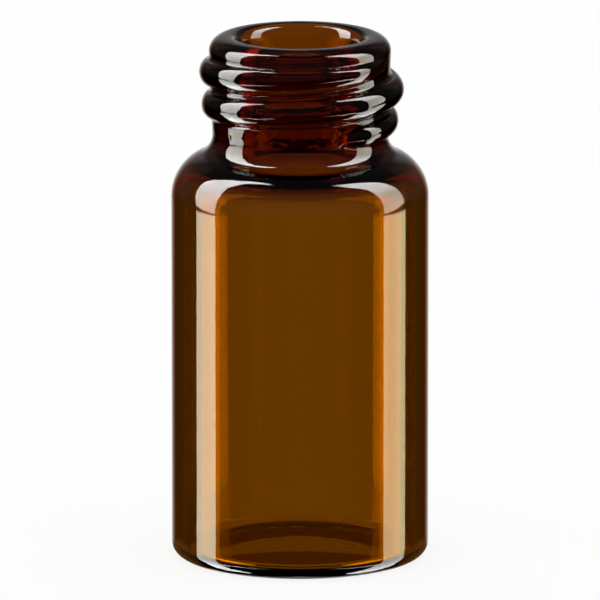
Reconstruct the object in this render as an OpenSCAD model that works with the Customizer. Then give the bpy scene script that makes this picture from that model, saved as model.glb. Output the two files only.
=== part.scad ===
// Screw-neck sample vial: one piece of amber tube glass, without its cap.
// Units are millimetres. The vial stands on the XY plane with its axis on Z.
// The front of the vial faces -Y.

/* [Body] */
// Outside diameter of the glass tube
body_d = 22.5; // [21:0.1:25]
// Height from the foot to the top of the rim
total_h = 46.25; // [40:0.1:75]
// Thickness of the side wall
wall = 1.1; // [0.8:0.05:1.5]

/* [Foot] */
// Outside radius between the side wall and the foot
heel_r = 1.2; // [0.8:0.1:1.8]
// Thickness of the glass floor at its edge
floor_t = 0.9; // [0.7:0.05:1.6]
// Inside radius between the side wall and the floor
floor_corner_r = 0.6; // [0.4:0.1:3]
// Width of the flat ring that the vial stands on
foot_ring_w = 0.75; // [0.6:0.05:2.5]
// Rise of the hollow under the vial
punt_h = 0.25; // [0.1:0.05:0.8]
// Rise of the floor inside the vial
floor_rise = 0.2; // [0:0.05:0.8]

/* [Shoulder] */
// Outside radius where the body turns in to the shoulder
shoulder_r = 4.05; // [3:0.05:5.5]
// Outside radius where the shoulder turns up to the neck
neck_root_r = 1.95; // [0.8:0.05:2.2]
// Inside radius at the top of the cavity
cavity_top_r = 2.45; // [1.8:0.05:4.5]
// Inside radius where the cavity turns up to the bore
bore_root_r = 3.05; // [1.8:0.05:3.5]
// Level of the foot of the bore below the foot of the neck
bore_root_drop = 0.18; // [0:0.01:1]

/* [Neck] */
// Outside diameter at the foot of the neck
neck_d = 15.3; // [14.4:0.1:15.9]
// Height from the foot of the neck to the top of the rim
neck_h = 8.7; // [8.4:0.1:12]
// Diameter of the bore
bore_d = 10.4; // [9:0.1:11.2]

/* [Rim] */
// Outside diameter below the rounding of the rim
rim_d = 15.9; // [15.2:0.1:16.4]
// Width of the outer rounding of the rim
rim_round_w = 1.45; // [0.6:0.05:1.5]
// Height of the outer rounding of the rim
rim_round_h = 1.3; // [0.6:0.05:1.6]
// Width of the flat land that the liner of a cap seals on
land_w = 0.3; // [0.1:0.05:0.7]
// Height of the inner rounding of the rim
lip_round_h = 1.3; // [0.3:0.05:1.4]

/* [Thread] */
// Diameter over the crest of the thread
thread_d = 17.6; // [17:0.1:18.4]
// Rise of the thread in one turn
thread_pitch = 2.93; // [2.7:0.01:3.2]
// Turns from the first to the last trace of the bead
thread_turns = 2.14; // [1.5:0.01:2.2]
// Height of the bead where it stands on the neck
bead_w = 2.3; // [1.8:0.05:2.6]
// Radius between the bead and the neck
bead_root_r = 0.4; // [0.1:0.05:0.45]
// Level of the last trace of the bead below the top of the rim
thread_drop = 1.8; // [1.6:0.05:2.6]
// Direction of the first trace of the bead, turned from the front to the right
thread_start = 24; // [0:1:359]
// Angle over which the bead rises from the neck at each end
thread_fade = 24; // [20:1:60]

/* [Hidden] */

GLASS = [0.42, 0.23, 0.05];
ROUND_FN = 96;      // facets of the preview; the solid is a true revolve
ARC_STEPS = 12;     // straight pieces in each rounding of the section
RISE_STEPS = 8;     // straight pieces in the shallow rise of the floor
TURN_STEPS = 48;    // sections of the bead in one turn
CREST_STEPS = 10;   // facets over the crest of the bead
ROOT_STEPS = 2;     // facets in the rounding at each side of the bead
ROOT_SWEEP = 60;    // the part of that rounding above the neck, in degrees
BEAD_ROOT = 0.7;    // how deep the bead is rooted in the wall of the neck
BEAD_SINK = 0.35;   // how deep the two ends of the bead dive into the wall
END_WIDTH = 0.55;   // share of the bead's height that its two ends keep

// Radii of the surfaces
body_r = body_d / 2;
cavity_r = body_r - wall;
neck_r = neck_d / 2;
bore_r = bore_d / 2;
rim_r = rim_d / 2;
thread_r = thread_d / 2;
foot_r = body_r - heel_r;
floor_r = cavity_r - floor_corner_r;
land_out_r = rim_r - rim_round_w;
land_in_r = land_out_r - land_w;

// Levels, from the rim down
rim_z = total_h - rim_round_h;
lip_z = total_h - lip_round_h;
neck_z = total_h - neck_h;
bore_z = neck_z - bore_root_drop;
shoulder_z = neck_z - s_height(shoulder_r, neck_root_r, body_r - neck_r);
cavity_top_z = bore_z - s_height(cavity_top_r, bore_root_r, cavity_r - bore_r);

// A wide cylinder and a narrow one above it are joined by two arcs that touch
// each other. Their centres lie low_r + high_r apart, on a line that makes the
// angle s_angle with the horizontal.
function s_angle(low_r, high_r, run) = acos(1 - run / (low_r + high_r));
function s_height(low_r, high_r, run) = (low_r + high_r) * sin(s_angle(low_r, high_r, run));

// Points on an arc or a quarter of an ellipse, as [radius, height]
function arc(centre, rx, ry, from, to, steps = ARC_STEPS) =
    [for (i = [0:steps]) let (a = from + (to - from) * i / steps)
        centre + [rx * cos(a), ry * sin(a)]];

// The two touching arcs, from the low wide wall to the high narrow one
function s_curve(low_wall, low_z, low_r, high_wall, high_z, high_r) =
    let (a = s_angle(low_r, high_r, low_wall - high_wall))
    concat(arc([low_wall - low_r, low_z], low_r, low_r, 0, a),
           slice(arc([high_wall + high_r, high_z], high_r, high_r, 180 + a, 180), 1));

// A flat-topped rise from the middle out to radius r, with its edge at level z
function rise(r, z, h) =
    [for (i = [0:RISE_STEPS]) let (s = i / RISE_STEPS) [r * s, z + h * (1 - pow(s, 4))]];

function slice(list, first) = [for (i = [first:len(list) - 1]) list[i]];
function reversed(list) = [for (i = [len(list) - 1:-1:0]) list[i]];

// Outside of the glass, from the middle of the foot up to the rim's land
outside = concat(
    rise(foot_r - foot_ring_w, 0, punt_h),
    arc([foot_r, heel_r], heel_r, heel_r, -90, 0),
    s_curve(body_r, shoulder_z, shoulder_r, neck_r, neck_z, neck_root_r),
    arc([land_out_r, rim_z], rim_round_w, rim_round_h, 0, 90));

// Inside of the glass, from the middle of the floor up to the rim's land
inside = concat(
    rise(floor_r, floor_t, floor_rise),
    slice(arc([floor_r, floor_t + floor_corner_r], floor_corner_r, floor_corner_r, -90, 0), 1),
    s_curve(cavity_r, cavity_top_z, cavity_top_r, bore_r, bore_z, bore_root_r),
    arc([land_in_r, lip_z], land_in_r - bore_r, lip_round_h, 180, 90));

// Outside radius of the neck at level z: it widens evenly up to the rim
function neck_wall(z) = neck_r + (rim_r - neck_r) * (z - neck_z) / (rim_z - neck_z);

// Level of the middle of the bead, a share s of the way along it
thread_end_z = total_h - thread_drop;
function bead_z(s) = thread_end_z - thread_pitch * thread_turns * (1 - s);

// Share of its full size that the bead has there: it swells smoothly from each end
fade_share = thread_fade / (360 * thread_turns);
function swell(s) = let (u = min(1, min(s, 1 - s) / fade_share)) u * u * (3 - 2 * u);

// Section of the bead at full size, as [share of its height above the neck, level]
bead_top = (thread_d - neck_d) / 2;
crest_to = acos(bead_root_r / bead_top);
function bead_flank(side) =
    [for (i = [1:ROOT_STEPS]) let (a = ROOT_SWEEP * i / ROOT_STEPS)
        [bead_root_r * (1 - sin(a)) / bead_top,
         side * (bead_w / 2 + bead_root_r * (1 - cos(a)))]];
bead_section = concat(
    reversed(bead_flank(-1)),
    [for (i = [0:CREST_STEPS]) let (a = crest_to * (2 * i / CREST_STEPS - 1))
        [cos(a), bead_w / 2 * sin(a) / sin(crest_to)]],
    bead_flank(1));

// One ring of points round the bead, a share s of the way along it
function bead_ring(s) =
    let (f = swell(s), z = bead_z(s), turn = thread_start - 90 + 360 * thread_turns * s,
         width = END_WIDTH + (1 - END_WIDTH) * f,
         base = bead_section[0][1] * width,
         rise = [for (p = bead_section)
             let (level = z + p[1] * width, r = neck_wall(level))
             [r + f * p[0] * (thread_r - r) - (1 - f) * BEAD_SINK, level]],
         root = [[neck_wall(z) - BEAD_ROOT, z - base], [neck_wall(z) - BEAD_ROOT, z + base]])
    [for (p = concat(rise, root)) [p[0] * cos(turn), p[0] * sin(turn), p[1]]];

// Solid through a row of rings that each have the same number of points
module loft(rings) {
    per = len(rings[0]);
    last = len(rings) - 1;
    sides = [for (k = [0:last - 1], i = [0:per - 1]) let (j = (i + 1) % per)
        each [[k * per + i, k * per + j, (k + 1) * per + j],
              [k * per + i, (k + 1) * per + j, (k + 1) * per + i]]];
    polyhedron(points = [for (ring = rings) each ring],
               faces = concat([[for (i = [per - 1:-1:0]) i]],
                              sides,
                              [[for (i = [0:per - 1]) last * per + i]]));
}

// The rounded right-hand thread that a cap screws onto
module thread() {
    steps = ceil(TURN_STEPS * thread_turns);
    loft([for (k = [0:steps]) bead_ring(k / steps)]);
}

// The wall of the vial, foot to rim, turned from its section
module glass_wall() {
    rotate_extrude($fn = ROUND_FN) polygon(concat(outside, reversed(inside)));
}

module vial() {
    color(GLASS) union() {
        glass_wall();
        thread();
    }
}

vial();
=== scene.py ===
from math import acos, ceil, cos, degrees, pi, radians, sin, sqrt

import bpy
import numpy as np
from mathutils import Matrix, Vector


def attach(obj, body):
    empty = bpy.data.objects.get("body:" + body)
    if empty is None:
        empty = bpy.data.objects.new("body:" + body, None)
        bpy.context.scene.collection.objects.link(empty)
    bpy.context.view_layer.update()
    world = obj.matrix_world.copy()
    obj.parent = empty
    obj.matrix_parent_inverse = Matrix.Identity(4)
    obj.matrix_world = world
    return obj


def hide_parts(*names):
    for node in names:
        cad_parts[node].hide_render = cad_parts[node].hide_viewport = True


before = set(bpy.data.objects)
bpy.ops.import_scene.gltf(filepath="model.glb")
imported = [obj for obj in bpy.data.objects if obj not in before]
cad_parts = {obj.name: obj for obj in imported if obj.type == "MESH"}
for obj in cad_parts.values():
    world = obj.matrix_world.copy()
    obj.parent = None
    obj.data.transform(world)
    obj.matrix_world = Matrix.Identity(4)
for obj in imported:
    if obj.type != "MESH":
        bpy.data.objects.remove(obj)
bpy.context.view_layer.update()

bl_info = {
    "name": "Amber sample vial",
    "version": (1, 0, 0),
    "blender": (4, 5, 0),
    "location": "3D View > Sidebar > Vial",
    "description": "Makes a screw-neck sample vial of amber glass and the stage it stands on",
    "category": "Add Mesh",
}

MM = 0.001


# ---------------------------------------------------------------------------
# Sizes and colours that a user would change
# ---------------------------------------------------------------------------

def length(name, description, millimetres):
    """A length property with its default given in millimetres."""
    return bpy.props.FloatProperty(
        name=name, description=description, default=millimetres * MM,
        min=0.0, unit="LENGTH", precision=5)


class VialBodySettings(bpy.types.PropertyGroup):
    """Sizes of the tube, the foot and the shoulder"""

    diameter: length("Diameter", "Outside diameter of the glass tube", 22.5)
    height: length("Height", "From the foot to the top of the rim", 46.25)
    wall: length("Wall", "Thickness of the side wall", 1.1)
    heel_radius: length("Heel radius", "Outside radius between wall and foot", 1.2)
    floor_edge: length("Floor edge", "Level of the glass floor at its edge", 0.9)
    floor_rise: length("Floor rise", "Rise of the floor inside its edge", 0.2)
    floor_corner: length("Floor corner", "Inside radius between wall and floor", 0.6)
    punt_radius: length("Punt radius", "Radius of the hollow under the vial", 9.3)
    punt: length("Punt", "Depth of the hollow under the vial", 0.25)
    shoulder_radius: length("Shoulder radius", "Outside radius of the shoulder", 4.05)
    neck_root: length("Neck root", "Outside radius where the neck rises", 1.95)
    cavity_top: length("Cavity top", "Inside radius at the top of the cavity", 2.45)
    bore_root: length("Bore root", "Inside radius where the bore rises", 3.05)
    bore_drop: length("Bore drop", "Foot of the bore below the foot of the neck", 0.18)


class VialNeckSettings(bpy.types.PropertyGroup):
    """Sizes of the neck, the rim and the thread"""

    diameter: length("Diameter", "Outside diameter at the foot of the neck", 15.3)
    height: length("Height", "From the foot of the neck to the rim", 8.7)
    bore: length("Bore", "Diameter of the bore", 10.4)
    rim_diameter: length("Rim diameter", "Outside diameter of the rim", 15.9)
    rim_round_width: length("Rim rounding width", "Width of the outer rounding", 1.45)
    rim_round_height: length("Rim rounding height", "Height of the outer rounding", 1.3)
    land: length("Land", "Width of the flat on top of the rim", 0.3)
    lip_round: length("Lip rounding", "Height of the inner rounding", 1.3)
    bead_width: length("Bead width", "Height of the thread's bead at its root", 2.3)
    bead_root: length("Bead root", "Radius between the bead and the neck", 0.4)
    pitch: length("Pitch", "Rise of the thread in one turn", 2.93)
    thread_drop: length("Thread drop", "End of the thread below the rim", 1.8)
    turns: bpy.props.FloatProperty(
        name="Turns", description="Turns of the thread", default=2.14, min=1.0, max=2.2)
    thread_start: bpy.props.FloatProperty(
        name="Thread start", description="Direction of the thread's start from the front",
        default=radians(24), subtype="ANGLE")
    thread_fade: bpy.props.FloatProperty(
        name="Thread fade", description="Angle over which each end swells",
        default=radians(24), subtype="ANGLE")


class VialGlassSettings(bpy.types.PropertyGroup):
    """Finish of the amber glass"""

    absorbed: bpy.props.FloatVectorProperty(
        name="Colour of the glass", description="Colour that passes through the glass",
        default=(0.907, 0.789, 0.0), size=3, min=0.0, max=1.0, subtype="COLOR")
    density: bpy.props.FloatProperty(
        name="Depth of colour", description="Absorption of the glass per metre",
        default=4500.0, min=0.0)
    index: bpy.props.FloatProperty(
        name="Index", description="Index of refraction", default=1.52, min=1.0, max=2.0)


# ---------------------------------------------------------------------------
# Section of the glass, as (radius, height)
# ---------------------------------------------------------------------------

# Straight pieces in each rounding
RISE_STEPS = 16
HEEL_STEPS = 20
OUTER_STEPS = 12
INNER_STEPS = 10
CORNER_STEPS = 8
# Longest pieces of the walls between the roundings
TUBE_PIECE = 6 * MM
FOOT_PIECE = 1.5 * MM
BORE_PIECE = 0.8 * MM
NECK_PIECE = 0.05 * MM
# Length of the short piece at each end of a straight wall
END_PIECE = 0.12 * MM
# Share of a piece by which a wall may be longer before it gets one more
PIECE_SLACK = 1e-6


def arc(centre_r, centre_z, radius_r, radius_z, start, end, steps):
    """Points on an arc or a part of an ellipse, from start to end in radians."""
    angles = [start + (end - start) * i / steps for i in range(steps + 1)]
    return [(centre_r + radius_r * cos(a), centre_z + radius_z * sin(a)) for a in angles]


def touch_angle(low, high, run):
    """Angle of the line between two touching arcs that step in by run."""
    return acos(1 - run / (low + high))


def shoulder_curve(low_wall, low, high_wall, high_z, high, steps):
    """Two arcs that touch, from a wide wall up to a narrow one whose foot is high_z."""
    angle = touch_angle(low, high, low_wall - high_wall)
    low_z = high_z - (low + high) * sin(angle)
    lower = arc(low_wall - low, low_z, low, low, 0, angle, steps)
    upper = arc(high_wall + high, high_z, high, high, pi + angle, pi, steps)
    return lower + upper[1:]


def swelling(share):
    """A flat-topped rise that is 1 on the axis and 0 at its edge, where share is 1."""
    return 1 - share ** 4


def steps_to_one(count):
    """Even steps from 0 to 1."""
    return [i / count for i in range(count + 1)]


def divided(points, longest):
    """The same polyline with no piece longer than longest."""
    result = [points[0]]
    for (r0, z0), (r1, z1) in zip(points, points[1:]):
        run = sqrt((r1 - r0) ** 2 + (z1 - z0) ** 2)
        pieces = max(1, ceil(run / longest - PIECE_SLACK))
        for i in range(1, pieces + 1):
            result.append((r0 + (r1 - r0) * i / pieces, z0 + (z1 - z0) * i / pieces))
    return result


def straight(start, end, longest):
    """A straight wall with a short piece at each end, so that its shading stays straight."""
    (r0, z0), (r1, z1) = start, end
    share = END_PIECE / sqrt((r1 - r0) ** 2 + (z1 - z0) ** 2)
    near = (r0 + (r1 - r0) * share, z0 + (z1 - z0) * share)
    far = (r1 - (r1 - r0) * share, z1 - (z1 - z0) * share)
    return [start] + divided([near, far], longest) + [end]


def outside_section(body, neck):
    """Outside of the glass, from the middle of the foot up to the land."""
    body_r = body.diameter / 2
    neck_z = body.height - neck.height
    foot_r = body_r - body.heel_radius
    land_r = neck.rim_diameter / 2 - neck.rim_round_width
    foot = [(body.punt_radius * s, body.punt * swelling(s)) for s in steps_to_one(RISE_STEPS)]
    heel = arc(foot_r, body.heel_radius, body.heel_radius, body.heel_radius, -pi / 2, 0,
               HEEL_STEPS)
    shoulder = shoulder_curve(body_r, body.shoulder_radius, neck.diameter / 2, neck_z,
                              body.neck_root, OUTER_STEPS)
    rim = arc(land_r, body.height - neck.rim_round_height, neck.rim_round_width,
              neck.rim_round_height, 0, pi / 2, OUTER_STEPS)
    ring = divided([foot[-1], heel[0]], FOOT_PIECE)
    wall = straight(heel[-1], shoulder[0], TUBE_PIECE)
    neck_wall = divided([shoulder[-1], rim[0]], NECK_PIECE)
    return foot[:-1] + ring[:-1] + heel[:-1] + wall[:-1] + shoulder[:-1] + neck_wall[:-1] + rim


def inside_section(body, neck):
    """Inside of the glass, from the middle of the floor up to the land."""
    cavity_r = body.diameter / 2 - body.wall
    floor_r = cavity_r - body.floor_corner
    bore_z = body.height - neck.height - body.bore_drop
    land_r = neck.rim_diameter / 2 - neck.rim_round_width - neck.land
    floor = [(floor_r * s, body.floor_edge + body.floor_rise * swelling(s))
             for s in steps_to_one(RISE_STEPS)]
    corner = arc(floor_r, body.floor_edge + body.floor_corner, body.floor_corner,
                 body.floor_corner, -pi / 2, 0, CORNER_STEPS)
    shoulder = shoulder_curve(cavity_r, body.cavity_top, neck.bore / 2, bore_z,
                              body.bore_root, INNER_STEPS)
    lip = arc(land_r, body.height - neck.lip_round, land_r - neck.bore / 2,
              neck.lip_round, pi, pi / 2, INNER_STEPS)
    wall = straight(corner[-1], shoulder[0], TUBE_PIECE)
    bore = straight(shoulder[-1], lip[0], BORE_PIECE)
    return floor + corner[1:-1] + wall[:-1] + shoulder[:-1] + bore[:-1] + lip


# ---------------------------------------------------------------------------
# Shape of the thread
# ---------------------------------------------------------------------------

# The rolled bead isn't quite even. By turns from its start: the radius of its crest and its
# lift from the even pitch, both in millimetres, and its width as a share of bead_width
CREST_TURNS = (0.0, 0.183, 0.683, 1.183, 1.683, 2.14)
CREST_RADII = (8.50, 8.60, 8.60, 9.08, 8.80, 8.70)
CREST_LIFTS = (0.0, 0.06, 0.04, -0.13, -0.04, 0.0)
CREST_WIDTHS = (0.80, 0.86, 0.96, 1.05, 0.97, 0.85)
# Share of its width that the bead keeps at its two ends, and where the rim leaves it no room
END_WIDTH = 0.55
LEAST_WIDTH = 0.1
# The upper end swells over an angle this many times that of the lower end
UPPER_FADE = 1.7
# Part of the rounding at each side of the bead that stands above the neck
ROOT_SWEEP = radians(60)
# Height over which the end of that rounding runs out on the neck, as a share of bead_root
ROOT_TAIL = 0.3
# Straight pieces over half of the crest and in that rounding
CREST_STEPS = 40
ROOT_STEPS = 8
# How far a point may lie off the ends and inside the wall of the neck and still belong to it
LEVEL_SLACK = 0.01 * MM
WALL_SLACK = 0.2 * MM
# Height above the bead of a point that no turn of it passes
FAR = 1e9


def bead_profile(neck, bead_height):
    """The bead's half section, crest to neck: distance along it, level, share of its height."""
    last = acos(neck.bead_root / bead_height)
    half = neck.bead_width / 2
    levels = []
    shares = []
    for i in range(CREST_STEPS + 1):
        a = last * i / CREST_STEPS
        levels.append(half * sin(a) / sin(last))
        shares.append(cos(a))
    for i in range(1, ROOT_STEPS + 1):
        a = ROOT_SWEEP * i / ROOT_STEPS
        levels.append(half + neck.bead_root * (1 - cos(a)))
        shares.append(neck.bead_root * (1 - sin(a)) / bead_height)
    levels.append(levels[-1] + ROOT_TAIL * neck.bead_root)
    shares.append(0.0)
    levels, shares = np.array(levels), np.array(shares)
    run = np.hypot(np.diff(levels), np.diff(shares) * bead_height)
    along = np.concatenate([[0.0], np.cumsum(run)])
    return along / along[-1], levels, shares


def nearest_turn(z, turn, body, neck):
    """Height of points above the middle of the bead, and how far along the bead they are."""
    sweep = 2 * pi * neck.turns
    start = neck.thread_start - pi / 2
    first = np.mod(turn - start, 2 * pi)
    above = np.full(len(z), FAR)
    share = np.zeros(len(z))
    for k in range(ceil(neck.turns)):
        s = (first + 2 * pi * k) / sweep
        level = body.height - neck.thread_drop - neck.pitch * neck.turns * (1 - s)
        level += np.interp(s * neck.turns, CREST_TURNS, CREST_LIFTS) * MM
        gap = np.where(s <= 1, z - level, FAR)
        nearer = np.abs(gap) < np.abs(above)
        above = np.where(nearer, gap, above)
        share = np.where(nearer, s, share)
    return above, share


def raise_thread(points, body, neck):
    """Moves the points of the neck's outside out to the rolled thread."""
    neck_z = body.height - neck.height
    rim_z = body.height - neck.rim_round_height
    neck_r, rim_r = neck.diameter / 2, neck.rim_diameter / 2
    radius = np.hypot(points[:, 0], points[:, 1])
    on_neck = (points[:, 2] > neck_z - LEVEL_SLACK) & (points[:, 2] < rim_z + LEVEL_SLACK)
    on_neck &= radius > neck_r - WALL_SLACK
    z = points[on_neck, 2]
    turn = np.arctan2(points[on_neck, 1], points[on_neck, 0])
    above, share = nearest_turn(z, turn, body, neck)

    # size of the bead at each point
    fade = neck.thread_fade / (2 * pi * neck.turns)
    u = np.clip(np.minimum(share / fade, (1 - share) / (fade * UPPER_FADE)), 0, 1)
    swell = u * u * (3 - 2 * u)
    crest = np.interp(share * neck.turns, CREST_TURNS, CREST_RADII) * MM
    along, levels, shares = bead_profile(neck, crest.mean() - neck_r)
    width = END_WIDTH + (1 - END_WIDTH) * swell
    width *= np.interp(share * neck.turns, CREST_TURNS, CREST_WIDTHS)
    below_rim = np.maximum((rim_z - (z - above)) / levels[-1], LEAST_WIDTH)
    width = np.where(above > 0, np.minimum(width, below_rim), width)

    # the points of the bead are spread evenly along its section
    reach = levels[-1] * width
    on_bead = np.abs(above) < reach
    t = np.clip(np.abs(above) / reach, 0, 1)
    t_here = swell * t + (1 - swell) * np.interp(t * levels[-1], levels, along)
    level = np.interp(t_here, along, levels) * width * np.sign(above)
    part = np.interp(t_here, along, shares)
    new_z = np.where(on_bead, z - above + level, z)
    wall_r = neck_r + (rim_r - neck_r) * (new_z - neck_z) / (rim_z - neck_z)
    new_r = np.where(on_bead, wall_r + swell * part * (crest - wall_r), wall_r)
    points[on_neck, 0] = new_r * np.cos(turn)
    points[on_neck, 1] = new_r * np.sin(turn)
    points[on_neck, 2] = new_z
    return points


# ---------------------------------------------------------------------------
# Material
# ---------------------------------------------------------------------------

# Relief of the glass: its depth in millimetres and its grain in waves per metre
LINE_DEPTH = 0.006
LINE_GRAIN = (900, 900, 12)
RIPPLE_DEPTH = 0.05
RIPPLE_GRAIN = (900, 900, 1300)
# Levels between which the ripples lie, and the height over which they fade
RIPPLE_BAND = (37.9 * MM, 41.2 * MM, 0.8 * MM)
# Sockets of a mix node that carry colours
MIX_A = 6
MIX_B = 7
MIX_RESULT = 2
WHITE = (1.0, 1.0, 1.0)


def direction(azimuth, elevation):
    """Unit vector seen from the vial: azimuth 0 is behind it and 90 is to the right."""
    a, e = radians(azimuth), radians(elevation)
    return Vector((sin(a) * cos(e), cos(a) * cos(e), sin(e)))


def empty_tree(owner):
    """The node tree of a new material or world, with nothing in it yet."""
    owner.use_nodes = True
    owner.node_tree.nodes.clear()
    return owner.node_tree


class NodeMaths:
    """Short names for the maths nodes of one tree. Values are sockets or plain numbers."""

    def __init__(self, tree):
        self.tree = tree

    def put(self, socket, value):
        """Links value to the socket, or sets the socket to it."""
        if isinstance(value, bpy.types.NodeSocket):
            self.tree.links.new(value, socket)
        else:
            socket.default_value = value

    def put_colour(self, socket, colour):
        """The same for a colour, which is a socket or three numbers."""
        self.put(socket, colour if isinstance(colour, bpy.types.NodeSocket) else (*colour, 1))

    def place(self, kind):
        """Coordinates of a kind, as one vector and as X, Y and Z."""
        vector = self.tree.nodes.new("ShaderNodeTexCoord").outputs[kind]
        parts = self.tree.nodes.new("ShaderNodeSeparateXYZ")
        self.put(parts.inputs[0], vector)
        return vector, parts.outputs["X"], parts.outputs["Y"], parts.outputs["Z"]

    def table_place(self):
        """Place on the table in millimetres: to the right, to the back and from the axis."""
        _, x, y, _ = self.place("Object")
        x = self.maths("DIVIDE", x, MM)
        y = self.maths("DIVIDE", y, MM)
        return x, y, self.maths("SQRT", self.total(self.product(x, x), self.product(y, y)))

    def maths(self, operation, *values):
        """Result of one maths node."""
        node = self.tree.nodes.new("ShaderNodeMath")
        node.operation = operation
        for socket, value in zip(node.inputs, values):
            self.put(socket, value)
        return node.outputs[0]

    def dot(self, vector, normal):
        """Dot product of a vector and a fixed one."""
        node = self.tree.nodes.new("ShaderNodeVectorMath")
        node.operation = "DOT_PRODUCT"
        self.put(node.inputs[0], vector)
        node.inputs[1].default_value = normal
        return node.outputs["Value"]

    def ramp(self, value, low, high, start=0.0, end=1.0):
        """Runs smoothly from start, where value is low, to end, where it is high."""
        node = self.tree.nodes.new("ShaderNodeMapRange")
        node.interpolation_type = "SMOOTHSTEP"
        self.put(node.inputs["Value"], value)
        self.put(node.inputs["From Min"], low)
        self.put(node.inputs["From Max"], high)
        self.put(node.inputs["To Min"], start)
        self.put(node.inputs["To Max"], end)
        return node.outputs["Result"]

    def between(self, value, low, high, soft):
        """Is 1 where value lies between low and high, with edges that are soft wide."""
        up = self.ramp(value, low - soft / 2, low + soft / 2)
        down = self.ramp(value, high - soft / 2, high + soft / 2, 1.0, 0.0)
        return self.maths("MULTIPLY", up, down)

    def product(self, *values):
        """All values multiplied."""
        result = values[0]
        for value in values[1:]:
            result = self.maths("MULTIPLY", result, value)
        return result

    def total(self, *values):
        """All values added."""
        result = values[0]
        for value in values[1:]:
            result = self.maths("ADD", result, value)
        return result

    def falling(self, value, start, rate):
        """Falls from start, where value is 0, at that rate."""
        return self.maths("SUBTRACT", start, self.product(value, rate))

    def noise(self, vector, scale):
        """Noise with that many waves per metre along each axis."""
        mapping = self.tree.nodes.new("ShaderNodeMapping")
        mapping.inputs["Scale"].default_value = scale
        self.put(mapping.inputs["Vector"], vector)
        node = self.tree.nodes.new("ShaderNodeTexNoise")
        node.inputs["Scale"].default_value = 1.0
        node.inputs["Detail"].default_value = 1.0
        self.put(node.inputs["Vector"], mapping.outputs[0])
        return node.outputs["Fac"]

    def light(self, vector, pieces, soft):
        """Mask of a light with straight edges, from the directions of its corners."""
        result = 0.0
        for piece in pieces:
            corners = [direction(*corner) for corner in piece]
            middle = sum(corners, Vector())
            mask = 1.0
            for a, b in zip(corners, corners[1:] + corners[:1]):
                normal = a.cross(b).normalized()
                if normal.dot(middle) < 0:
                    normal.negate()
                edge = self.ramp(self.dot(vector, normal), -soft / 2, soft / 2)
                mask = self.maths("MULTIPLY", mask, edge)
            result = self.maths("MAXIMUM", result, mask)
        return result

    def stops(self, value, points):
        """Colour that runs smoothly through points, each a value and its colour."""
        result = points[0][1]
        for (low, _), (high, colour) in zip(points, points[1:]):
            result = self.mix_colours(self.ramp(value, low, high), result, colour)
        return result

    def scaled(self, colour, strength):
        """A colour times a strength."""
        node = self.tree.nodes.new("ShaderNodeVectorMath")
        node.operation = "SCALE"
        self.put(node.inputs[0], colour)
        self.put(node.inputs["Scale"], strength)
        return node.outputs[0]

    def add_colours(self, *colours):
        """All colours added."""
        result = colours[0]
        for colour in colours[1:]:
            node = self.tree.nodes.new("ShaderNodeVectorMath")
            node.operation = "ADD"
            self.put(node.inputs[0], result)
            self.put(node.inputs[1], colour)
            result = node.outputs[0]
        return result

    def mix_colours(self, factor, a, b):
        """Colour a where factor is 0 and colour b where it is 1."""
        node = self.tree.nodes.new("ShaderNodeMix")
        node.data_type = "RGBA"
        self.put(node.inputs["Factor"], factor)
        self.put_colour(node.inputs[MIX_A], a)
        self.put_colour(node.inputs[MIX_B], b)
        return node.outputs[MIX_RESULT]


def glass_relief(tree):
    """Faint relief of the faces: lines drawn along the tube, ripples at the foot of the neck."""
    n = NodeMaths(tree)
    place, _, _, z = n.place("Object")
    lines = n.product(n.noise(place, LINE_GRAIN), LINE_DEPTH)
    ripples = n.product(n.noise(place, RIPPLE_GRAIN), n.between(z, *RIPPLE_BAND), RIPPLE_DEPTH)
    bump = tree.nodes.new("ShaderNodeBump")
    bump.inputs["Distance"].default_value = MM
    n.put(bump.inputs["Height"], n.total(lines, ripples))
    return bump.outputs["Normal"]


def glass_material(settings):
    """Amber glass: clear faces, with the colour in its depth."""
    material = bpy.data.materials.new("amber_glass")
    tree = empty_tree(material)
    output = tree.nodes.new("ShaderNodeOutputMaterial")
    surface = tree.nodes.new("ShaderNodeBsdfPrincipled")
    surface.inputs["Base Color"].default_value = (*WHITE, 1)
    surface.inputs["Roughness"].default_value = 0.0
    surface.inputs["IOR"].default_value = settings.index
    surface.inputs["Transmission Weight"].default_value = 1.0
    tree.links.new(glass_relief(tree), surface.inputs["Normal"])
    depth = tree.nodes.new("ShaderNodeVolumeAbsorption")
    depth.inputs["Color"].default_value = (*settings.absorbed, 1)
    depth.inputs["Density"].default_value = settings.density
    tree.links.new(surface.outputs["BSDF"], output.inputs["Surface"])
    tree.links.new(depth.outputs["Volume"], output.inputs["Volume"])
    return material


# ---------------------------------------------------------------------------
# Stage
# ---------------------------------------------------------------------------

# Corners of the two tall lights, as (azimuth, elevation). Each light is made of convex parts
LEFT_LIGHT = (
    ((-98, -8.8), (-84, -7.5), (-74.5, -4), (-66, 20), (-61.5, 32), (-61.5, 42), (-91, 43),
     (-97, 25), (-99, 5)),
    ((-61.5, 42), (-66.5, 51), (-72, 60), (-86, 59.5), (-91, 43)),
    ((-72, 60), (-86, 70), (-112, 73.5), (-97, 67.5), (-86, 59.5)),
    ((-98, -10.6), (-73.5, -9.6), (-72, -34), (-98, -34)),
    ((-98, -34), (-72, -34), (-58, -54), (-75, -67), (-93, -66)),
)
RIGHT_LIGHT = (
    ((99, -8.5), (84, -5.5), (73.5, 0), (71, 30), (71.5, 42), (98.5, 42), (99.5, 8)),
    ((71.5, 42), (78, 54), (91, 63.5), (107, 58), (98.5, 42)),
    ((91, 63.5), (114, 68.5), (107, 58)),
    ((71, -9.0), (99, -10.6), (100, -34), (68, -34)),
    ((68, -34), (100, -34), (97, -58), (85, -68), (60, -68), (43, -60), (54, -47)),
)
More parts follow.
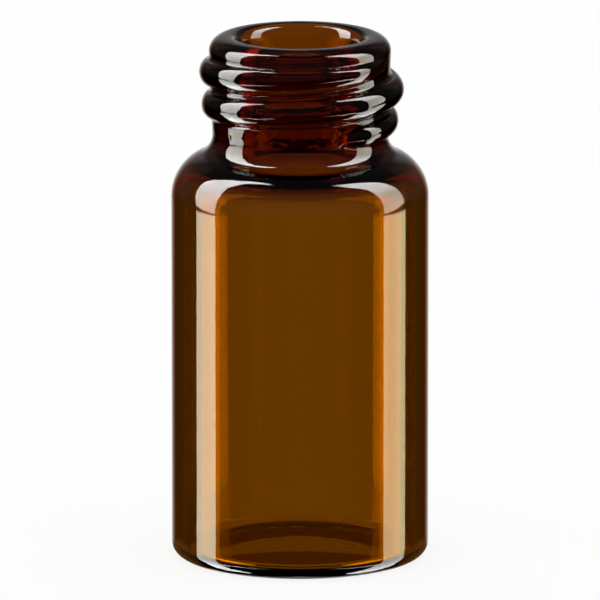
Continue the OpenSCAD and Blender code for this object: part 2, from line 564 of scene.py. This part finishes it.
# Width of the lights' soft edges, as the sine of an angle
LIGHT_SOFT = 0.02
LIGHT_STRENGTH = 15.0
# Colour of each light by elevation, as a share of its full strength
LEFT_COLOURS = (
    (-55, (0.65, 0.65, 0.65)), (-40, (0.85, 0.85, 0.85)), (-25, (0.52, 0.52, 0.52)),
    (-14, (0.38, 0.38, 0.38)), (-13.6, (0.48, 0.44, 0.31)), (-11.8, (0.48, 0.44, 0.31)),
    (-11.6, (0.22, 0.22, 0.23)), (-7, (0.44, 0.43, 0.38)), (12, (0.54, 0.53, 0.48)),
    (38, (0.78, 0.77, 0.76)), (60, (1.0, 1.0, 1.0)),
)
RIGHT_COLOURS = (
    (-55, (0.55, 0.55, 0.54)), (-40, (0.48, 0.48, 0.48)), (-25, (0.38, 0.38, 0.37)),
    (-14, (0.32, 0.32, 0.32)), (-13.6, (0.42, 0.37, 0.205)), (-11.8, (0.42, 0.37, 0.205)),
    (-11.6, (0.18, 0.18, 0.18)), (-5, (0.39, 0.37, 0.30)), (20, (0.36, 0.34, 0.29)),
    (42, (0.72, 0.70, 0.68)), (60, (0.85, 0.85, 0.85)),
)

# The rest of the studio is laid out by two angles in degrees: the elevation, and the side, which
# is the azimuth without its sign. A fade is (from, to, first value, last value) and runs from 0
# to 1 where it has no values. A band is (from, to, width of its soft edges).

# A ray that has bounced in some way has a depth of that kind above this
NO_BOUNCE = 0.5

# The left light is a little cooler towards the front
COOL_BAND = (-13.8, -11.7, 0.2)
COOL_SIDE = (80.0, 97.0)
COOL_TINT = (0.0, 0.08, 0.055)

# What the outside of the glass mirrors: a dim backdrop that is warmer at its sides
BACKDROP_SIDE = (8.0, 32.0, 1.0, 0.0)
BACKDROP_BASE = 0.26
BACKDROP_FOOT = (-6.0, 12.0, 0.5, 0.0)
BACKDROP_TOP = (18.0, 34.0, 1.0, 0.0)
WARM_SIDE = (12.0, 26.0)
WARM_TINT = (1.0, 0.6, 0.3)
# the lit edge of the table in front, brightest to both sides
TABLE_BAND = (-31.0, -27.0, 1.5)
TABLE_SIDE = (112.0, 158.0, 9.0, 0.0)
TABLE_START = (95.0, 103.0)
# a brown glow beside the backdrop
SIDE_GLOW_BAND = (8.0, 36.0, 6.0)
SIDE_GLOW_SIDE = (26.0, 44.0, 8.0)
SIDE_GLOW = (0.10, 0.04, 0.01)
# and a faint room above the table
ROOM_FADE = (-12.0, 6.0)
ROOM = (0.05, 0.045, 0.05)

# What is seen from within the glass: the strip of the backdrop, brightest off its middle
STRIP_FADES = ((3.3, 5.4, 0.37, 0.56), (5.6, 6.3, 0.0, -0.12), (10.5, 11.5, 0.0, -0.44))
STRIP_LEVEL = (-9.0, 3.0, 1.0, 0.55)
BEHIND_BAND = (-55.0, 30.0, 6.0)
# share of the two lights that is seen there, by elevation
LIGHTS_FOOT = (-35.0, -20.0, 0.3, 1.0)
LIGHTS_START = (-2.0, 2.0)
LIGHTS_TOP = (15.0, 40.0, 1.0, 0.45)
# after a mirroring inside the glass, an orange edge of the strip and a wide dim flank
EDGE_BAND = (10.5, 24.0, 1.5)
EDGE_FADE = (15.0, 24.0, 0.36, 0.06)
EDGE_TINT = (1.0, 0.4, 0.05)
FLANK_BAND = (20.0, 75.0, 4.0)
FLANK_TOP = (27.0, 33.0, 1.0, 0.0)
FLANK_STRENGTH = 0.18
# straight through it, a dim spread beside the strip that grows to the sides
DIM_BAND = (10.5, 36.0, 1.0)
DIM_STRENGTH = 0.1
FAR_FADE = (30.0, 45.0, 0.0, 0.38)
SPREAD_TINT = (1.0, 1.5, 0.5)

# Share of its own white in the floor, and the colour of the rest
FLOOR_GLOW = 0.85
FLOOR_COLOUR = (0.95, 0.95, 0.95)

# Light under the vial, in millimetres from its axis. A lit lens lies between two bent edges,
# each given by how far back it crosses the middle and by how it bends forward to the sides.
LENS_BACK = (3.86, 0.1)
LENS_BACK_SOFT = (-0.2, 0.2)
LENS_FRONT = (-1.8, 0.045)
LENS_FRONT_SOFT = (-0.7, 0.3)
# a shaded ring lies round the lens, out to the open table
OPEN_TABLE = (7.7, 8.1)
TABLE_LIGHT = (0.36, 0.36, 0.36)
SHADE_FADE = (-4.0, 0.5)
SHADE_FRONT = (0.14, 0.075, 0.05)
SHADE_BACK = (0.10, 0.035, 0.02)
# and painted oval ripples of light run over all of it
OVAL_SQUASH = 0.3
OVAL_TURN = 7.0
OVAL_STRENGTH = 0.12

# Warm light beside the foot, in millimetres. It lies behind a straight edge at each side, given
# by where it crosses the middle in front of the vial and by its slope.
GLOW_EDGE = (9.3, 0.294)
GLOW_EDGE_SOFT = (-0.1, 0.3)
# it fades by the angle from the front, in degrees, and by the distance from the axis
GLOW_ANGLE = (95.0, 110.0, 1.0, 0.0)
GLOW_REACH = (15.0, 18.0, 1.0, 0.0)
FOOT_GLOW = (0.25, 0.10, 0.02)

# Sizes of the stage, and how far the two discs of light lie below the floor
FLOOR_SIZE = 6.0
DISC_SIDES = 64
PATCH_RADIUS = 9.9 * MM
PATCH_DROP = 0.02 * MM
GLOW_RADIUS = 18 * MM
GLOW_DROP = 0.03 * MM
# The camera: height of the point it looks at, distance, angle above the table, lens in mm
AIM_HEIGHT = 22.67 * MM
CAMERA_DISTANCE = 1.2
CAMERA_TILT = radians(12.2)
CAMERA_LENS = 823
CAMERA_REACH = 20


def tall_lights(n, place, side, elevation):
    """The two tall lights, each with its own colours."""
    left = n.product(n.light(place, LEFT_LIGHT, LIGHT_SOFT), LIGHT_STRENGTH)
    right = n.product(n.light(place, RIGHT_LIGHT, LIGHT_SOFT), LIGHT_STRENGTH)
    cool = n.product(left, n.between(elevation, *COOL_BAND), n.ramp(side, *COOL_SIDE))
    return n.add_colours(n.scaled(n.stops(elevation, LEFT_COLOURS), left),
                         n.scaled(n.stops(elevation, RIGHT_COLOURS), right),
                         n.scaled(COOL_TINT, cool))


def light_on_glass(n, side, elevation, lights):
    """What the outside of the glass mirrors."""
    foot = n.total(BACKDROP_BASE, n.ramp(elevation, *BACKDROP_FOOT))
    tall = n.product(foot, n.ramp(elevation, *BACKDROP_TOP))
    backdrop = n.product(n.ramp(side, *BACKDROP_SIDE), tall)
    warmer = n.mix_colours(n.ramp(side, *WARM_SIDE), WHITE, WARM_TINT)
    table = n.product(n.between(elevation, *TABLE_BAND), n.ramp(side, *TABLE_SIDE),
                      n.ramp(side, *TABLE_START))
    side_glow = n.product(n.between(elevation, *SIDE_GLOW_BAND), n.between(side, *SIDE_GLOW_SIDE))
    room = n.ramp(elevation, *ROOM_FADE)
    return n.add_colours(lights, n.scaled(warmer, backdrop), n.scaled(WHITE, table),
                         n.scaled(SIDE_GLOW, side_glow), n.scaled(ROOM, room))


def light_in_glass(n, side, elevation, lights):
    """What rays from within the glass meet: once mirrored inside it, and straight through."""
    behind = n.between(elevation, *BEHIND_BAND)
    top = n.ramp(elevation, *LIGHTS_TOP)
    strip = n.total(*[n.ramp(side, *fade) for fade in STRIP_FADES])
    backdrop = n.scaled(WHITE, n.product(strip, behind, n.ramp(elevation, *STRIP_LEVEL)))

    edge = n.product(n.between(side, *EDGE_BAND), n.ramp(side, *EDGE_FADE), behind)
    flank = n.product(n.between(side, *FLANK_BAND), FLANK_STRENGTH,
                      n.ramp(elevation, *FLANK_TOP))
    inside = n.add_colours(n.scaled(lights, n.product(n.ramp(elevation, *LIGHTS_FOOT), top)),
                           backdrop, n.scaled(EDGE_TINT, edge), n.scaled(SPREAD_TINT, flank))

    dim = n.product(n.between(side, *DIM_BAND), DIM_STRENGTH)
    spread = n.product(n.total(n.ramp(side, *FAR_FADE), dim), behind)
    through = n.add_colours(n.scaled(lights, n.product(n.ramp(elevation, *LIGHTS_START), top)),
                            backdrop, n.scaled(SPREAD_TINT, spread))
    return inside, through


def studio_world():
    """A white studio for the camera; for the glass, a dark one with two tall lights."""
    world = bpy.data.worlds.new("studio")
    bpy.context.scene.world = world
    tree = empty_tree(world)
    n = NodeMaths(tree)
    place, x, y, z = n.place("Generated")
    side = n.maths("ABSOLUTE", n.maths("MULTIPLY", n.maths("ARCTAN2", x, y), degrees(1)))
    elevation = n.maths("MULTIPLY", n.maths("ARCSINE", z), degrees(1))
    lights = tall_lights(n, place, side, elevation)
    mirrored = light_on_glass(n, side, elevation, lights)
    inside, through = light_in_glass(n, side, elevation, lights)

    path = tree.nodes.new("ShaderNodeLightPath")
    in_glass = n.maths("GREATER_THAN", path.outputs["Transmission Depth"], NO_BOUNCE)
    is_reflected = n.maths("GREATER_THAN", path.outputs["Glossy Depth"], NO_BOUNCE)
    reflected = n.mix_colours(in_glass, mirrored, inside)
    seen_by_glass = n.mix_colours(is_reflected, through, reflected)
    plain = n.maths("MAXIMUM", path.outputs["Is Camera Ray"], path.outputs["Is Diffuse Ray"])
    background = tree.nodes.new("ShaderNodeBackground")
    output = tree.nodes.new("ShaderNodeOutputWorld")
    n.put(background.inputs["Color"], n.mix_colours(plain, seen_by_glass, WHITE))
    tree.links.new(background.outputs[0], output.inputs["Surface"])
    world.cycles.sampling_method = "NONE"


def show_mixed(tree, share, first, second):
    """Makes the surface of a material a mix of two shaders, of which second has that share."""
    mix = tree.nodes.new("ShaderNodeMixShader")
    output = tree.nodes.new("ShaderNodeOutputMaterial")
    NodeMaths(tree).put(mix.inputs["Fac"], share)
    tree.links.new(first.outputs[0], mix.inputs[1])
    tree.links.new(second.outputs[0], mix.inputs[2])
    tree.links.new(mix.outputs[0], output.inputs["Surface"])


def floor_material():
    """Pale floor: mostly its own white, so that the shadow on it stays faint."""
    material = bpy.data.materials.new("pale_floor")
    tree = empty_tree(material)
    matt = tree.nodes.new("ShaderNodeBsdfDiffuse")
    matt.inputs["Color"].default_value = (*FLOOR_COLOUR, 1)
    show_mixed(tree, FLOOR_GLOW, matt, tree.nodes.new("ShaderNodeEmission"))
    return material


def under_light_material():
    """Light on the table under the vial, as seen through its floor: a lit patch in a dark ring."""
    material = bpy.data.materials.new("under_light")
    tree = empty_tree(material)
    n = NodeMaths(tree)
    x, y, radius = n.table_place()
    x_squared = n.product(x, x)
    before_back = n.maths("SUBTRACT", n.falling(x_squared, *LENS_BACK), y)
    behind_front = n.maths("SUBTRACT", y, n.falling(x_squared, *LENS_FRONT))
    lens = n.product(n.ramp(before_back, *LENS_BACK_SOFT), n.ramp(behind_front, *LENS_FRONT_SOFT))
    bright = n.maths("MAXIMUM", lens, n.ramp(radius, *OPEN_TABLE))
    shade = n.mix_colours(n.ramp(y, *SHADE_FADE), SHADE_FRONT, SHADE_BACK)
    oval = n.maths("SQRT", n.total(n.product(x_squared, OVAL_SQUASH), n.product(y, y)))
    ripple = n.product(n.maths("SINE", n.product(oval, OVAL_TURN)), OVAL_STRENGTH)
    glow = tree.nodes.new("ShaderNodeEmission")
    output = tree.nodes.new("ShaderNodeOutputMaterial")
    n.put(glow.inputs["Color"], n.mix_colours(bright, shade, TABLE_LIGHT))
    n.put(glow.inputs["Strength"], n.total(1.0, ripple))
    tree.links.new(glow.outputs[0], output.inputs["Surface"])
    return material


def foot_glow_material():
    """Warm light on the table at both sides of the foot, for the heel to mirror."""
    material = bpy.data.materials.new("foot_glow")
    tree = empty_tree(material)
    n = NodeMaths(tree)
    x, y, radius = n.table_place()
    x = n.maths("ABSOLUTE", x)
    y = n.maths("MULTIPLY", y, -1.0)
    angle = n.maths("MULTIPLY", n.maths("ARCTAN2", x, y), degrees(1))
    behind_edge = n.maths("SUBTRACT", n.falling(x, *GLOW_EDGE), y)
    mask = n.product(n.ramp(behind_edge, *GLOW_EDGE_SOFT), n.ramp(angle, *GLOW_ANGLE),
                     n.ramp(radius, *GLOW_REACH))
    glow = tree.nodes.new("ShaderNodeEmission")
    glow.inputs["Color"].default_value = (*FOOT_GLOW, 1)
    show_mixed(tree, mask, tree.nodes.new("ShaderNodeBsdfTransparent"), glow)
    return material


def low_disc(name, radius, drop, material):
    """A flat disc below the floor that only rays from the glass can meet."""
    bpy.ops.mesh.primitive_circle_add(vertices=DISC_SIDES, radius=radius, fill_type="NGON",
                                      location=(0, 0, -drop))
    disc = bpy.context.object
    disc.name = disc.data.name = name
    disc.data.materials.append(material)
    disc.visible_camera = False
    disc.visible_diffuse = False
    disc.visible_shadow = False
    return disc


# ---------------------------------------------------------------------------
# Operators
# ---------------------------------------------------------------------------

# Faces round the vial, and the distance within which points on its seam and axis are joined
ROUND_STEPS = 288
JOIN_DISTANCE = 0.002 * MM


class VIAL_OT_glass(bpy.types.Operator):
    """Turn the vial from its section and raise its thread"""

    bl_idname = "vial.glass"
    bl_label = "Make the glass"
    bl_options = {"REGISTER", "UNDO"}

    def execute(self, context):
        body = context.scene.vial_body
        neck = context.scene.vial_neck
        outline = outside_section(body, neck) + inside_section(body, neck)[::-1]
        bpy.ops.object.select_all(action="DESELECT")
        bpy.ops.mesh.primitive_plane_add(size=MM, location=(0, 0, 0))
        glass = context.object
        glass.name = glass.data.name = "vial_glass"
        bpy.ops.object.mode_set(mode="EDIT")
        bpy.ops.mesh.merge(type="CENTER")
        bpy.ops.transform.translate(value=(outline[0][0], 0, outline[0][1]))
        for (r0, z0), (r1, z1) in zip(outline, outline[1:]):
            bpy.ops.mesh.extrude_region_move(
                TRANSFORM_OT_translate={"value": (r1 - r0, 0, z1 - z0)})
        bpy.ops.mesh.select_all(action="SELECT")
        bpy.ops.mesh.spin(steps=ROUND_STEPS, angle=2 * pi, center=(0, 0, 0), axis=(0, 0, 1))
        bpy.ops.mesh.select_all(action="SELECT")
        bpy.ops.mesh.remove_doubles(threshold=JOIN_DISTANCE)
        bpy.ops.mesh.normals_make_consistent(inside=False)
        bpy.ops.object.mode_set(mode="OBJECT")
        mesh = glass.data
        points = np.empty(len(mesh.vertices) * 3)
        mesh.vertices.foreach_get("co", points)
        points = raise_thread(points.reshape(-1, 3), body, neck)
        mesh.vertices.foreach_set("co", points.ravel())
        mesh.update()
        bpy.ops.object.shade_smooth()
        mesh.materials.append(glass_material(context.scene.vial_glass))
        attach(glass, "root")
        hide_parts("vial")
        return {"FINISHED"}


class VIAL_OT_stage(bpy.types.Operator):
    """Make the floor, the studio round the vial and the camera"""

    bl_idname = "vial.stage"
    bl_label = "Make the stage"
    bl_options = {"REGISTER", "UNDO"}

    def execute(self, context):
        scene = context.scene
        bpy.ops.object.select_all(action="DESELECT")
        bpy.ops.mesh.primitive_plane_add(size=FLOOR_SIZE, location=(0, 0, 0))
        floor = context.object
        floor.name = floor.data.name = "floor"
        floor.data.materials.append(floor_material())
        floor.visible_glossy = False
        floor.visible_transmission = False
        patch = low_disc("under_light", PATCH_RADIUS, PATCH_DROP, under_light_material())
        patch.visible_glossy = False
        foot_glow = low_disc("foot_glow", GLOW_RADIUS, GLOW_DROP, foot_glow_material())
        foot_glow.visible_transmission = False
        studio_world()
        away = Vector((0, -cos(CAMERA_TILT), sin(CAMERA_TILT)))
        bpy.ops.object.camera_add(
            location=Vector((0, 0, AIM_HEIGHT)) + CAMERA_DISTANCE * away,
            rotation=(pi / 2 - CAMERA_TILT, 0, 0))
        camera = context.object
        camera.name = "camera"
        camera.data.lens = CAMERA_LENS
        camera.data.clip_end = CAMERA_REACH
        scene.camera = camera
        scene.view_settings.view_transform = "Standard"
        scene.cycles.max_bounces = 32
        scene.cycles.transmission_bounces = 24
        scene.cycles.glossy_bounces = 16
        scene.cycles.diffuse_bounces = 2
        scene.cycles.sample_clamp_indirect = 0
        scene.cycles.blur_glossy = 0
        scene.cycles.caustics_reflective = True
        scene.cycles.caustics_refractive = True
        return {"FINISHED"}


class VIAL_PT_panel(bpy.types.Panel):
    """Sizes, glass and steps of the vial"""

    bl_idname = "VIAL_PT_panel"
    bl_label = "Sample vial"
    bl_space_type = "VIEW_3D"
    bl_region_type = "UI"
    bl_category = "Vial"

    def draw(self, context):
        layout = self.layout
        for name in ("vial_body", "vial_neck", "vial_glass"):
            settings = getattr(context.scene, name)
            box = layout.box()
            for key in settings.__annotations__:
                box.prop(settings, key)
        layout.operator("vial.glass")
        layout.operator("vial.stage")


GROUPS = {"vial_body": VialBodySettings, "vial_neck": VialNeckSettings,
          "vial_glass": VialGlassSettings}
CLASSES = (*GROUPS.values(), VIAL_OT_glass, VIAL_OT_stage, VIAL_PT_panel)


def register():
    for cls in CLASSES:
        bpy.utils.register_class(cls)
    for name, group in GROUPS.items():
        setattr(bpy.types.Scene, name, bpy.props.PointerProperty(type=group))


def unregister():
    for name in GROUPS:
        delattr(bpy.types.Scene, name)
    for cls in reversed(CLASSES):
        bpy.utils.unregister_class(cls)


def main():
    register()
    bpy.ops.vial.glass()
    bpy.ops.vial.stage()


if __name__ == "__main__":
    main()
